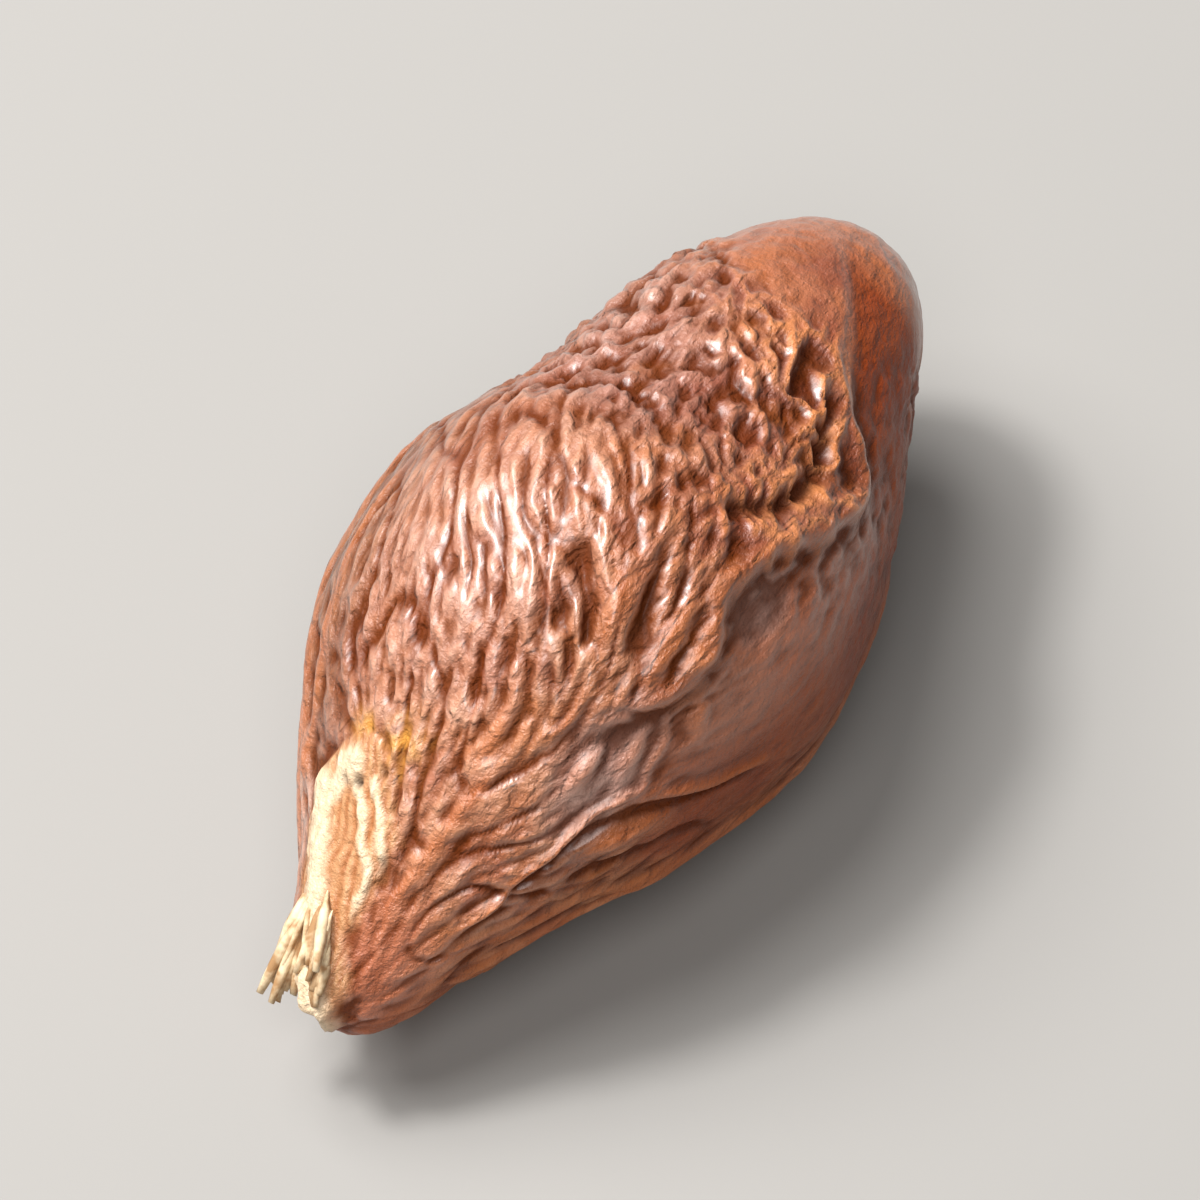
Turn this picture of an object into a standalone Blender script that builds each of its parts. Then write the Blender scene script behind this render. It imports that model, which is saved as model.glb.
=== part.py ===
"""A dried malva nut, the shrivelled spindle-shaped seed of a malva nut tree, lying on its belly.

Metres, +Z up. The nut's long axis runs along X: the stalk end, with the pale scar of the stalk, is at -X
and the blunt end at +X. The origin is the middle of the footprint, on the surface that the nut lies on.
The shape is worked out in millimetres and turned to metres at the end. A place on the skin is given by
its distance from the brown stalk end and by its azimuth round the long axis, from +Y (0) over the top
(90), in degrees.
"""

import math

import bmesh
import bpy
import numpy as np
from mathutils import Vector, noise

MM = 0.001

# Half the thickness of the body at distances from the stalk end.
GIRTH_STATIONS = (
    (0.0, 0.0),
    (0.25, 0.9),
    (0.6, 1.3),
    (1.6, 2.0),
    (3.6, 3.0),
    (5.6, 4.2),
    (7.6, 5.3),
    (9.6, 6.05),
    (13.1, 6.5),
    (16.6, 5.55),
    (19.6, 4.75),
    (23.6, 3.15),
    (25.2, 1.8),
    (25.8, 0.0),
)
BODY_LENGTH = GIRTH_STATIONS[-1][0]
# The centreline sways a little to either side, and its stalk end droops towards the surface.
SWAY_STATIONS = (
    (0.0, -0.7),
    (3.6, -0.25),
    (7.6, 0.12),
    (12.6, 0.05),
    (17.0, -0.55),
    (21.0, 0.1),
    (25.8, 0.8),
)
HEIGHT_STATIONS = ((0.0, 3.3), (4.5, 4.95), (8.8, 6.2), (12.9, 6.52), (19.6, 6.45), (25.8, 6.6))
REST_CUT = 0.12  # depth of the belly that is pressed flat
REST_ALONG = 13.0

# The lattice that the skin is modelled on.
QUARTER_SQUARES = 44
FLANK_SQUARES = 100
CAP_SHARE = 0.15  # share of the way from tip to tip that each square-gridded end takes
KEPT_TRIANGLES = 11000

# The shrivelled skin: ridges about this far apart, drawn out lengthwise.
WRINKLE_SPACING = 1.3
WRINKLE_HEIGHT = 0.3
LENGTHWISE_PULL = 2.5
JOINING_ROUNDS = 3  # each joins the ridges into longer ones
SOLVER_STEPS = 30
DENT_SPACING = 5.5
DENT_DEPTH = 0.3

# Named lines on the skin, each a row of (distance from the stalk end, azimuth).
KEEL = (
    (6.8, 127),
    (7.8, 130),
    (8.8, 136),
    (10.2, 140),
    (11.2, 139),
    (12.3, 131),
    (14.2, 132),
    (16.2, 140),
    (18.4, 146),
    (19.4, 132),
    (20.5, 119),
    (22.0, 111),
    (23.9, 94),
)
CREASE = ((14.4, 119), (15.6, 126), (17.0, 129), (18.4, 126))
FOLDS = (
    ((2.6, 148), (4.7, 149), (6.0, 151), (7.1, 153), (7.9, 159), (9.1, 169), (10.7, 178), (12.5, 186)),
    ((2.0, 152), (3.4, 162), (5.0, 166), (6.5, 164), (7.7, 169), (9.0, 179), (12.0, 190)),
    ((2.8, 172), (4.6, 180), (6.5, 190), (9.1, 200)),
    ((8.3, 122), (9.6, 117), (11.2, 110)),
    ((2.5, 192), (7.0, 200), (13.0, 207), (19.5, 201)),
    ((3.0, 222), (8.0, 228), (12.0, 232)),
    ((2.5, 318), (7.5, 322), (12.5, 318), (18.0, 326)),
    ((3.0, 350), (8.0, 346), (14.0, 352), (20.0, 345)),
    ((4.0, 15), (9.0, 10), (15.0, 18)),
)
FOLD_HEIGHT = 0.28
FOLD_WIDTH = 0.36

# The scar: a raised pale strip, and the frayed foot of the stalk standing out past the brown end.
SCAR_LINE = ((0.0, 50), (1.5, 51), (3.0, 57), (5.4, 57))
SCAR_LENGTH = 5.3
SCAR_WIDTH = 2.8
SCAR_RISE = 0.22
STUB_LENGTH = 0.8
STUB_PLACE = (0.6, 0.65)  # its middle in Y and Z, from the centreline

SKIN_COLOUR = (0.25, 0.115, 0.062)
SCAR_COLOUR = (0.76, 0.56, 0.36)


def smooth_through(stations, x):
    """A smooth curve through (x, y) stations that never overshoots between two of them."""
    xs, ys = np.array(stations, float).T
    steps = np.diff(xs)
    slopes = np.diff(ys) / steps
    same_way = slopes[:-1] * slopes[1:] > 0
    sums = np.where(same_way, slopes[:-1] + slopes[1:], 1)
    inner = np.where(same_way, 2 * slopes[:-1] * slopes[1:] / sums, 0)
    tangents = np.concatenate([slopes[:1], inner, slopes[-1:]])
    i = np.clip(np.searchsorted(xs, x) - 1, 0, len(steps) - 1)
    t = (x - xs[i]) / steps[i]
    rise = ys[i + 1] - ys[i]
    start, end = tangents[i] * steps[i], tangents[i + 1] * steps[i]
    return ys[i] + start * t + (3 * rise - 2 * start - end) * t**2 + (start + end - 2 * rise) * t**3


def half_thickness(along):
    """The body's radius. It is the square of the radius that runs smoothly, which rounds both ends."""
    squares = [(x, r * r) for x, r in GIRTH_STATIONS]
    return np.sqrt(np.maximum(smooth_through(squares, along), 0))


def on_body(along, azimuth):
    """Points of the body before it shrivelled."""
    turn = np.radians(azimuth)
    radius = half_thickness(along)
    across = smooth_through(SWAY_STATIONS, along) + radius * np.cos(turn)
    height = smooth_through(HEIGHT_STATIONS, along) + radius * np.sin(turn)
    return np.stack([along, across, height], axis=1)


def eased(low, high, x):
    """0 below low, 1 above high, and smooth between."""
    t = np.clip((x - low) / (high - low), 0, 1)
    return t * t * (3 - 2 * t)


def noise_at(points, spacing, shift):
    """Smooth noise between about -1 and 1, with its lumps this far apart."""
    return np.array([2 * noise.noise(Vector(p) / spacing + Vector((shift, shift, shift))) for p in points])


def near_line(points, line):
    """How far each point is from a named line, and at which azimuth the line passes it."""
    stations, azimuths = np.array(line, float).T
    along = np.linspace(stations[0], stations[-1], 80)
    track = on_body(along, smooth_through(list(zip(stations, azimuths)), along))
    gaps = np.linalg.norm(points[:, None] - track[None], axis=2)
    return gaps.min(axis=1), np.interp(points[:, 0], stations, azimuths)


def bump(distance, width):
    """1 on a line and 0 well away from it."""
    return np.exp(-((distance / width) ** 2))


def capped_tube():
    """A closed lattice of squares: a square tube along X with a square-gridded cap on each end."""
    lattice = bmesh.new()
    bmesh.ops.create_cube(lattice, size=2.0)
    for axis, squares in enumerate((FLANK_SQUARES, QUARTER_SQUARES, QUARTER_SQUARES)):
        rows = [e for e in lattice.edges if abs(e.verts[0].co[axis] - e.verts[1].co[axis]) > 1]
        bmesh.ops.subdivide_edges(lattice, edges=rows, cuts=squares - 1, use_grid_fill=True)
    return lattice


def skin_places(corners):
    """The distance from the stalk end and the azimuth that each lattice corner stands for."""
    x, y, z = corners.T
    # The square tube is rounded to a round one, and its caps to discs.
    across, up = y * np.sqrt(1 - z * z / 2), z * np.sqrt(1 - y * y / 2)
    share = CAP_SHARE + (1 - 2 * CAP_SHARE) * (x + 1) / 2
    share = np.where(x < -1 + 1e-6, CAP_SHARE * np.hypot(across, up), share)
    share = np.where(x > 1 - 1e-6, 1 - CAP_SHARE * np.hypot(across, up), share)
    # Equal shares are equal lengths of skin, from the stalk end to the blunt end.
    sweep = BODY_LENGTH / 2 * (1 - np.cos(np.linspace(0, math.pi, 400)))
    walked = np.concatenate([[0], np.cumsum(np.hypot(np.diff(sweep), np.diff(half_thickness(sweep))))])
    along = np.interp(share, walked / walked[-1], sweep)
    return along, np.degrees(np.arctan2(up, across)) % 360


def skin_links(points, squares):
    """The area at each point and the links between points, which resist bending more lengthwise."""
    corners = np.concatenate([squares[:, [0, 1, 2]], squares[:, [0, 2, 3]]])
    a, b, c = points[corners].transpose(1, 0, 2)
    opposite = np.stack([c - b, a - c, b - a], axis=1)
    normals = np.cross(opposite[:, 0], opposite[:, 1])
    doubled_area = np.linalg.norm(normals, axis=1)
    lengthwise = np.cross(normals[:, None], opposite)[..., 0] / doubled_area[:, None]
    ends, strengths = [], []
    for i, j in ((0, 1), (1, 2), (2, 0)):
        even = np.einsum("ij,ij->i", opposite[:, i], opposite[:, j])
        drawn = LENGTHWISE_PULL * lengthwise[:, i] * lengthwise[:, j]
        ends.append(corners[:, [i, j]])
        strengths.append(-(even + drawn) / (2 * doubled_area))
    area = sum(np.bincount(corners[:, i], doubled_area / 6, len(points)) for i in range(3))
    return area, np.concatenate(ends), np.concatenate(strengths)


def smoothed(field, links, size):
    """The field with all that is much smaller than this size evened out, by conjugate gradients."""
    area, ends, strengths = links
    near, far = np.concatenate([ends, ends[:, ::-1]]).T
    pulls = np.concatenate([strengths, strengths]) * size**2
    held = area + np.bincount(near, pulls, len(field))

    def strained(x):
        return held * x - np.bincount(near, pulls * x[far], len(x))

    found = field.copy()
    rest = area * field - strained(found)
    step = rest / held
    power = rest @ step
    for _ in range(SOLVER_STEPS):
        push = strained(step)
        found += power / (step @ push) * step
        rest -= power / (step @ push) * push
        next_power = rest @ (rest / held)
        step = rest / held + next_power / power * step
        power = next_power
    return found


def wrinkle_net(points, squares):
    """A meandering net of ridges and valleys, -1 to 1, as a skin gets that shrinks more than what it covers.

    Noise is smoothed over a small size and over a larger one. The difference has ridges of one spacing, and
    each round of this joins them into longer ones.
    """
    links = skin_links(points, squares)
    small = WRINKLE_SPACING / 9
    large = 1.6 * small
    net = noise_at(points / (1.6, 1, 1), WRINKLE_SPACING * 0.6, 11.3)
    for _ in range(JOINING_ROUNDS):
        net = smoothed(smoothed(net, links, small), links, small)
        net -= smoothed(smoothed(net, links, large), links, large)
        net = np.tanh(1.1 * net / net.std())
    return net


def stalk_scar(along, azimuth):
    """1 inside the pale strip that the stalk left, 0 outside it."""
    middle = smooth_through(SCAR_LINE, np.minimum(along, SCAR_LINE[-1][0]))
    turn = np.radians((azimuth - middle + 180) % 360 - 180)
    off_centre = abs(turn) * np.maximum(half_thickness(along), 0.8)
    past_head = np.maximum(along - (SCAR_LENGTH - SCAR_WIDTH / 2), 0)
    half_width = SCAR_WIDTH / 2 * (0.5 + 0.5 * eased(0.5, 4.0, along))
    return 1 - eased(-0.3, 0.3, np.hypot(off_centre, past_head) - half_width)


def shrivel(points, squares, along, azimuth):
    """How high the dried skin stands over the body."""
    around = np.radians(azimuth) * half_thickness(along)
    dents = DENT_DEPTH * noise_at(points / (1.4, 1, 1), DENT_SPACING, 3.7)
    net = wrinkle_net(points, squares)

    # Below the keel the flank is drawn tight: the skin steps down there and is nearly smooth.
    keel_gap, keel_azimuth = near_line(points, KEEL)
    below = azimuth - keel_azimuth
    keel_reach = eased(7.0, 8.8, along) * (1 - eased(23.2, 24.6, along))
    flank = eased(0, 12, below) * (1 - eased(50, 80, below)) * keel_reach
    strength = 1 - 0.65 * flank
    keel = 0.15 * bump(keel_gap, 0.8) * keel_reach - 0.3 * flank * (1 - eased(30, 65, below))

    # The skin is coarser towards the blunt end and smooth on its very top.
    strength *= (0.7 + 0.45 * eased(11, 18, along)) * (1 - 0.75 * eased(23.0, 25.0, along))
    folds = sum(bump(near_line(points, line)[0], FOLD_WIDTH) for line in FOLDS)
    crease = -0.5 * bump(near_line(points, CREASE)[0], 0.42)
    skin = dents + keel + crease + FOLD_HEIGHT * folds
    skin += WRINKLE_HEIGHT / 2 * net * strength * (1 - 0.7 * np.minimum(folds, 1))

    # The belly is smooth where it lies on the surface.
    from_rest = np.hypot(points[:, 0] - REST_ALONG, 1.6 * points[:, 1])
    skin *= np.where(azimuth > 180, eased(2.2, 4.6, from_rest), 1)

    # The scar is a raised strip of lengthwise fibres.
    scar = stalk_scar(along, azimuth)
    fibres = 0.06 * np.cos(around * 2 * math.pi / 0.9)
    return skin * (1 - scar) + (0.4 * dents + SCAR_RISE + fibres) * scar


def stalk_stub(points, along):
    """How far the frayed foot of the stalk is drawn out past the brown end."""
    middle = Vector((0, SWAY_STATIONS[0][1] + STUB_PLACE[0], HEIGHT_STATIONS[0][1] + STUB_PLACE[1]))
    off_middle = np.hypot(points[:, 1] - middle.y, points[:, 2] - middle.z)
    frayed = 1 + 0.35 * noise_at(points, 0.7, 5.1)
    return STUB_LENGTH * frayed * bump(off_middle, 0.95) * (1 - eased(0.3, 2.4, along))


def nut_mesh():
    """The whole skin of the nut as one closed mesh, in millimetres from its stalk end."""
    lattice = capped_tube()
    along, azimuth = skin_places(np.array([vert.co for vert in lattice.verts]))
    points = on_body(along, azimuth)
    for vert, point in zip(lattice.verts, points):
        vert.co = point
    lattice.normal_update()
    lattice.verts.index_update()
    normals = np.array([vert.normal for vert in lattice.verts])
    squares = np.array([[vert.index for vert in face.verts] for face in lattice.faces])

    shrivelled = points + normals * shrivel(points, squares, along, azimuth)[:, None]
    shrivelled[:, 0] -= stalk_stub(points, along)
    for vert, point in zip(lattice.verts, shrivelled):
        vert.co = point
    scar = stalk_scar(along, azimuth) > 0.5
    for face in lattice.faces:
        face.material_index = int(all(scar[vert.index] for vert in face.verts))
    mesh = bpy.data.meshes.new("nut_skin")
    lattice.to_mesh(mesh)
    lattice.free()
    return mesh


def thinned(mesh):
    """The mesh with fewer triangles, the small ones kept where the skin is most curved."""
    wrinkled = bpy.data.objects.new("wrinkled", mesh)
    bpy.context.collection.objects.link(wrinkled)
    thin = wrinkled.modifiers.new("fewer_triangles", "DECIMATE")
    thin.ratio = KEPT_TRIANGLES / (2 * len(mesh.polygons))
    bpy.context.view_layer.update()
    evaluated = wrinkled.evaluated_get(bpy.context.evaluated_depsgraph_get())
    shape = bmesh.new()
    shape.from_mesh(evaluated.to_mesh())
    bpy.data.objects.remove(wrinkled)
    return shape


def set_down(shape):
    """Presses the belly flat and moves the origin to the middle of the footprint."""
    lowest = min(vert.co.z for vert in shape.verts)
    everything = shape.verts[:] + shape.edges[:] + shape.faces[:]
    floor = Vector((0, 0, lowest + REST_CUT))
    cut = bmesh.ops.bisect_plane(shape, geom=everything, plane_co=floor, plane_no=(0, 0, -1), clear_outer=True)
    rim = [part for part in cut["geom_cut"] if isinstance(part, bmesh.types.BMEdge)]
    bmesh.ops.contextual_create(shape, geom=rim)
    corners = np.array([vert.co for vert in shape.verts])
    low, high = corners.min(axis=0), corners.max(axis=0)
    foot = Vector(((low[0] + high[0]) / 2, (low[1] + high[1]) / 2, floor.z))
    bmesh.ops.translate(shape, verts=shape.verts, vec=-foot)


def matt(name, colour, roughness):
    material = bpy.data.materials.new(name)
    material.use_nodes = True
    shader = material.node_tree.nodes["Principled BSDF"]
    shader.inputs["Base Color"].default_value = (*colour, 1.0)
    shader.inputs["Roughness"].default_value = roughness
    shader.inputs["Metallic"].default_value = 0.0
    return material


def main():
    for obj in list(bpy.data.objects):
        bpy.data.objects.remove(obj)
    shape = thinned(nut_mesh())
    set_down(shape)
    bmesh.ops.scale(shape, verts=shape.verts, vec=(MM, MM, MM))
    mesh = bpy.data.meshes.new("malva_nut")
    shape.to_mesh(mesh)
    shape.free()
    mesh.shade_smooth()
    mesh.materials.append(matt("dried_seed_coat", SKIN_COLOUR, 0.5))
    mesh.materials.append(matt("stalk_scar", SCAR_COLOUR, 0.7))
    bpy.context.collection.objects.link(bpy.data.objects.new("malva_nut", mesh))


main()
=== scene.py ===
"""The finished look of a dried malva nut: its finely shrivelled skin, pale stalk scar and brown colours."""

import math

import bpy
import numpy as np
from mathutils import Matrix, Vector, noise


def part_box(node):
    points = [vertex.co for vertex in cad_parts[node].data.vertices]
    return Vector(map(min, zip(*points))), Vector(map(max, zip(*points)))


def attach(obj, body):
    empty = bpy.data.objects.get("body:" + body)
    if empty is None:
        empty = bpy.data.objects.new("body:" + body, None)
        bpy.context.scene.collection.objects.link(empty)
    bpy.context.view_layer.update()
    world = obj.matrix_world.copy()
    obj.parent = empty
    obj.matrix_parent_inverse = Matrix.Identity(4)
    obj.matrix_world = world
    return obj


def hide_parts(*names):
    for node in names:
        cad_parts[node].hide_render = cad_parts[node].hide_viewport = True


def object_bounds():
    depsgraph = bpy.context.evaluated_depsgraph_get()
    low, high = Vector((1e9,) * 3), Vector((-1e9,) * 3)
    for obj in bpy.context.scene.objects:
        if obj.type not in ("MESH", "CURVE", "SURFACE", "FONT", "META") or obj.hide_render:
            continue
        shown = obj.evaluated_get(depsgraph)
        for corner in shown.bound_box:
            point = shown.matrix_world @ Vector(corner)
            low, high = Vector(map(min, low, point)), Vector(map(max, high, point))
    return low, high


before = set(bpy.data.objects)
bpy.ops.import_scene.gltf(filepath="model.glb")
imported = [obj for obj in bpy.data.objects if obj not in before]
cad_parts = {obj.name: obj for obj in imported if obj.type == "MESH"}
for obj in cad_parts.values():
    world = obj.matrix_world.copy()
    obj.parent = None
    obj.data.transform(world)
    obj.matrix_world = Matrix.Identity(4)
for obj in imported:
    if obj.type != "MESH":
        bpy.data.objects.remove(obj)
cad_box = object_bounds()


# The body of the nut.
# The plump seed before it dried: a spindle about twice as long as it is thick, a little bowed, with a
# narrow stalk end at -X and a blunt end at +X. All of the nut is worked out in millimetres. A place on it
# is its distance along from the brown stalk end and its azimuth, from +Y (0) over the top (90).
GIRTH_STATIONS = (
    (0.0, 0.0),
    (0.25, 0.9),
    (0.6, 1.3),
    (1.6, 2.0),
    (3.6, 3.0),
    (5.6, 4.2),
    (7.6, 5.3),
    (9.6, 6.05),
    (13.1, 6.5),
    (16.6, 5.55),
    (19.6, 4.75),
    (23.6, 3.15),
    (25.2, 1.8),
    (25.8, 0.0),
)
BODY_LENGTH = GIRTH_STATIONS[-1][0]
SWAY_STATIONS = (
    (0.0, -0.7),
    (3.6, -0.25),
    (7.6, 0.12),
    (12.6, 0.05),
    (17.0, -0.55),
    (21.0, 0.1),
    (25.8, 0.8),
)
HEIGHT_STATIONS = ((0.0, 3.3), (4.5, 4.95), (8.8, 6.2), (12.9, 6.52), (19.6, 6.45), (25.8, 6.6))
FLANK_SQUARES = 216  # from end to end, so that a square of the skin's mesh is about 0.12 mm
QUARTER_SQUARES = 88  # in a quarter of the way round
CAP_SHARE = 0.15  # of the way from end to end, which the closing cap of squares takes at each end
OUTLINE_STEPS = 400


def smooth_through(stations, x):
    """A smooth curve through (x, y) stations that never overshoots between two of them."""
    xs, ys = np.array(stations, float).T
    steps = np.diff(xs)
    slopes = np.diff(ys) / steps
    same_way = slopes[:-1] * slopes[1:] > 0
    sums = np.where(same_way, slopes[:-1] + slopes[1:], 1)
    inner = np.where(same_way, 2 * slopes[:-1] * slopes[1:] / sums, 0)
    tangents = np.concatenate([slopes[:1], inner, slopes[-1:]])
    i = np.clip(np.searchsorted(xs, x) - 1, 0, len(steps) - 1)
    t = (x - xs[i]) / steps[i]
    rise = ys[i + 1] - ys[i]
    start, end = tangents[i] * steps[i], tangents[i + 1] * steps[i]
    return ys[i] + start * t + (3 * rise - 2 * start - end) * t**2 + (start + end - 2 * rise) * t**3


def half_thickness(along):
    squares = [(x, r * r) for x, r in GIRTH_STATIONS]
    return np.sqrt(np.maximum(smooth_through(squares, along), 0))


def on_body(along, azimuth):
    turn = np.radians(azimuth)
    radius = half_thickness(along)
    across = smooth_through(SWAY_STATIONS, along) + radius * np.cos(turn)
    height = smooth_through(HEIGHT_STATIONS, along) + radius * np.sin(turn)
    return np.stack([along, across, height], axis=1)


def boxed_grid(flank, quarter):
    """The corners, -1 to 1, and the squares of a box's gridded sides, with the outsides out."""
    cells = np.array([flank, quarter, quarter])
    sides = []
    for axis in range(3):
        u, v = (axis + 1) % 3, (axis + 2) % 3
        across, up = np.meshgrid(np.arange(cells[u]), np.arange(cells[v]), indexing="ij")
        for side in (0, cells[axis]):
            squares = np.full((across.size, 4, 3), side)
            squares[..., u] = across.reshape(-1, 1) + [0, 1, 1, 0]
            squares[..., v] = up.reshape(-1, 1) + [0, 0, 1, 1]
            sides.append(squares if side else squares[:, ::-1])
    corners, index = np.unique(np.concatenate(sides).reshape(-1, 3), axis=0, return_inverse=True)
    return corners / cells * 2 - 1, index.reshape(-1, 4)


def skin_places(corners):
    """The distance along and the azimuth that each corner of the box stands for."""
    x, y, z = corners.T
    across, up = y * np.sqrt(1 - z * z / 2), z * np.sqrt(1 - y * y / 2)
    share = CAP_SHARE + (1 - 2 * CAP_SHARE) * (x + 1) / 2
    share = np.where(x < -1 + 1e-6, CAP_SHARE * np.hypot(across, up), share)
    share = np.where(x > 1 - 1e-6, 1 - CAP_SHARE * np.hypot(across, up), share)
    sweep = BODY_LENGTH / 2 * (1 - np.cos(np.linspace(0, math.pi, OUTLINE_STEPS)))
    walked = np.concatenate([[0], np.cumsum(np.hypot(np.diff(sweep), np.diff(half_thickness(sweep))))])
    along = np.interp(share, walked / walked[-1], sweep)
    return along, np.degrees(np.arctan2(up, across)) % 360


def outward(points, faces):
    """The normal at each point, averaged over the squares that meet there."""
    across = points[faces[:, 2]] - points[faces[:, 0]]
    up = points[faces[:, 3]] - points[faces[:, 1]]
    square_normals = np.cross(across, up)
    normals = np.zeros_like(points)
    for corner in range(4):
        for axis in range(3):
            normals[:, axis] += np.bincount(faces[:, corner], square_normals[:, axis], len(points))
    return normals / np.linalg.norm(normals, axis=1, keepdims=True)


box_corners, squares = boxed_grid(FLANK_SQUARES, QUARTER_SQUARES)
along, azimuth = skin_places(box_corners)
body = on_body(along, azimuth)
body_normals = outward(body, squares)


# The shrivelled skin.
# A thin leathery coat that covered a swollen, wet seed and dried faster than it: it buckled into long
# folds towards the stalk and into a meandering net of ridges and pits towards the blunt end.
RIDGE_HEIGHT = 0.16
PLEAT_SPACING = 2.0  # of the long pleats, the creases on them and the fine crinkles
CREASE_SPACING = 0.68
CRINKLE_SPACING = 0.42
LUMP_SPACING = 0.85  # of the blunt half's lumps, its swells and its winding ridges
SWELL_SPACING = 1.9
WINDING_SPACINGS = (2.6, 2.2)
PLEAT_PULL = 14  # how much the waves are drawn out at the stalk, and how much of that the blunt half loses
PLEAT_PULL_LOST = 12
CREASE_PULL = 12
CREASE_PULL_LOST = 9
DENT_SPACING = 5.5
DENT_DEPTH = 0.3
DENT_STRETCH = (1.4, 1, 1)  # the dents are longer than wide
STALK_HALF_ENDS = (4, 11)  # where along the nut one kind of skin gives way to the next
BLUNT_HALF_STARTS = (12, 17)
CROWN_STARTS = 20.4  # the smooth top of the blunt end, which reaches down furthest at azimuth 100
CROWN_LAGS = 2.6  # how much later it starts away from there
KEEL_STARTS = (7.0, 8.8)
KEEL_ENDS = (23.2, 24.6)
TAUT_STARTS = (0, 12)  # the taut flank, in degrees below the keel
TAUT_ENDS = (50, 80)
KEEL = (
    (6.8, 127),
    (7.8, 130),
    (8.8, 136),
    (10.2, 140),
    (11.2, 139),
    (12.3, 131),
    (14.2, 132),
    (16.2, 140),
    (18.4, 146),
    (19.4, 132),
    (20.5, 119),
    (22.0, 111),
    (23.9, 94),
)
CREASE = ((14.4, 119), (15.6, 126), (17.0, 129), (18.4, 126))
FOLDS = (  # height, width and line
    (
        0.2,
        0.13,
        ((2.6, 148), (4.0, 152), (4.7, 149), (5.4, 151), (6.6, 151), (7.3, 154), (7.9, 157), (8.3, 154)),
    ),
    (0.16, 0.16, ((7.9, 157), (8.3, 153), (8.8, 151), (9.2, 147), (9.5, 142))),
    (0.14, 0.2, ((7.6, 158), (8.4, 166), (9.1, 170), (9.9, 175), (10.7, 178), (12.2, 185))),
    (0.2, 0.34, ((5.7, 160), (6.5, 163), (7.1, 166), (7.7, 169), (8.8, 179))),
    (0.12, 0.2, ((2.0, 156), (3.4, 165), (4.6, 171), (5.6, 168))),
    (0.14, 0.3, ((2.8, 168), (4.3, 180), (5.9, 186), (7.5, 198), (9.1, 202))),
    (0.22, 0.36, ((6.2, 138), (6.9, 138), (7.7, 138))),
    (0.2, 0.34, ((7.3, 149), (8.2, 146), (9.1, 143))),
    (0.14, 0.32, ((9.6, 154), (10.0, 152), (10.4, 150))),
    (0.22, 0.36, ((8.9, 118), (10.1, 115), (11.4, 109))),
    (0.14, 0.3, ((8.9, 130), (9.6, 132), (10.8, 129), (12.0, 126))),
    (0.1, 0.16, ((5.2, 107), (6.3, 109), (7.2, 108))),
    (0.12, 0.16, ((6.4, 119), (7.5, 124), (8.6, 121))),
    (0.25, 0.4, ((2.5, 192), (7.0, 200), (13.0, 207), (19.5, 201))),
    (0.25, 0.35, ((3.0, 222), (8.0, 228), (12.0, 232))),
    (0.25, 0.4, ((2.5, 318), (7.5, 322), (12.5, 318), (18.0, 326))),
    (0.22, 0.35, ((3.0, 350), (8.0, 346), (14.0, 352), (20.0, 345))),
    (0.2, 0.3, ((4.0, 15), (9.0, 10), (15.0, 18))),
    (0.12, 0.22, ((1.7, 98), (2.2, 100), (2.9, 106), (4.2, 110), (6.2, 116))),
    (0.12, 0.24, ((3.8, 8), (5.5, 20), (8.5, 26), (12.0, 30))),
)
VALLEYS = (  # depth, width and line
    (
        0.2,
        0.2,
        ((3.8, 147), (5.0, 154), (6.0, 155), (6.7, 157), (7.4, 161), (8.2, 167), (9.1, 174), (11.2, 184)),
    ),
    (0.15, 0.22, ((5.4, 168), (6.7, 175), (8.1, 183), (9.0, 187), (10.0, 195))),
    (0.32, 0.24, ((8.1, 105), (8.6, 106), (9.4, 105), (10.4, 100), (11.4, 90))),
    (0.32, 0.24, ((8.3, 114), (8.8, 114), (9.5, 111), (10.3, 104), (11.6, 97))),
    (0.28, 0.22, ((9.2, 125), (9.7, 124), (10.7, 120), (12.3, 114))),
    (0.14, 0.15, ((7.6, 127), (8.5, 134), (8.9, 140), (9.5, 143), (10.3, 143))),
    (0.1, 0.14, ((6.6, 143), (7.2, 142), (7.7, 140), (8.4, 135))),
)
SUNKEN = ((7.6, 143, 1.6, 0.14), (13.1, 143, 1.0, 0.12))  # along, azimuth, radius and depth
SUNKEN_STRETCH = 1.4
REST_ALONG = 13.0
REST_RADII = (1.8, 4.2)  # the plain spot on the belly ends between these, and is narrower across
REST_NARROWS = 1.6
LINE_STEPS = 40
LINE_REACH = 3  # how far past its ends a line is still looked for
FAR_OFF = 9.0
SOLVER_STEPS = 22
WAVE_TO_SMALL = 9  # the spacing of waves over the smaller of the two sizes that pick them out
LARGE_TO_SMALL = 1.6
UNDERSIDE = 270


def eased(low, high, x):
    """0 below low, 1 above high, and smooth between."""
    t = np.clip((x - low) / (high - low), 0, 1)
    return t * t * (3 - 2 * t)


def bump(distance, width):
    """1 on a line and 0 well away from it."""
    return np.exp(-((distance / width) ** 2))


def noise_at(points, spacing, shift):
    """Smooth noise between about -1 and 1, with its lumps this far apart."""
    return np.array([2 * noise.noise(Vector(p) / spacing + Vector((shift, shift, shift))) for p in points])


def turned(from_azimuth):
    """How far round each point lies from an azimuth, -180 to 180 degrees."""
    return (azimuth - from_azimuth + 180) % 360 - 180


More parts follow.
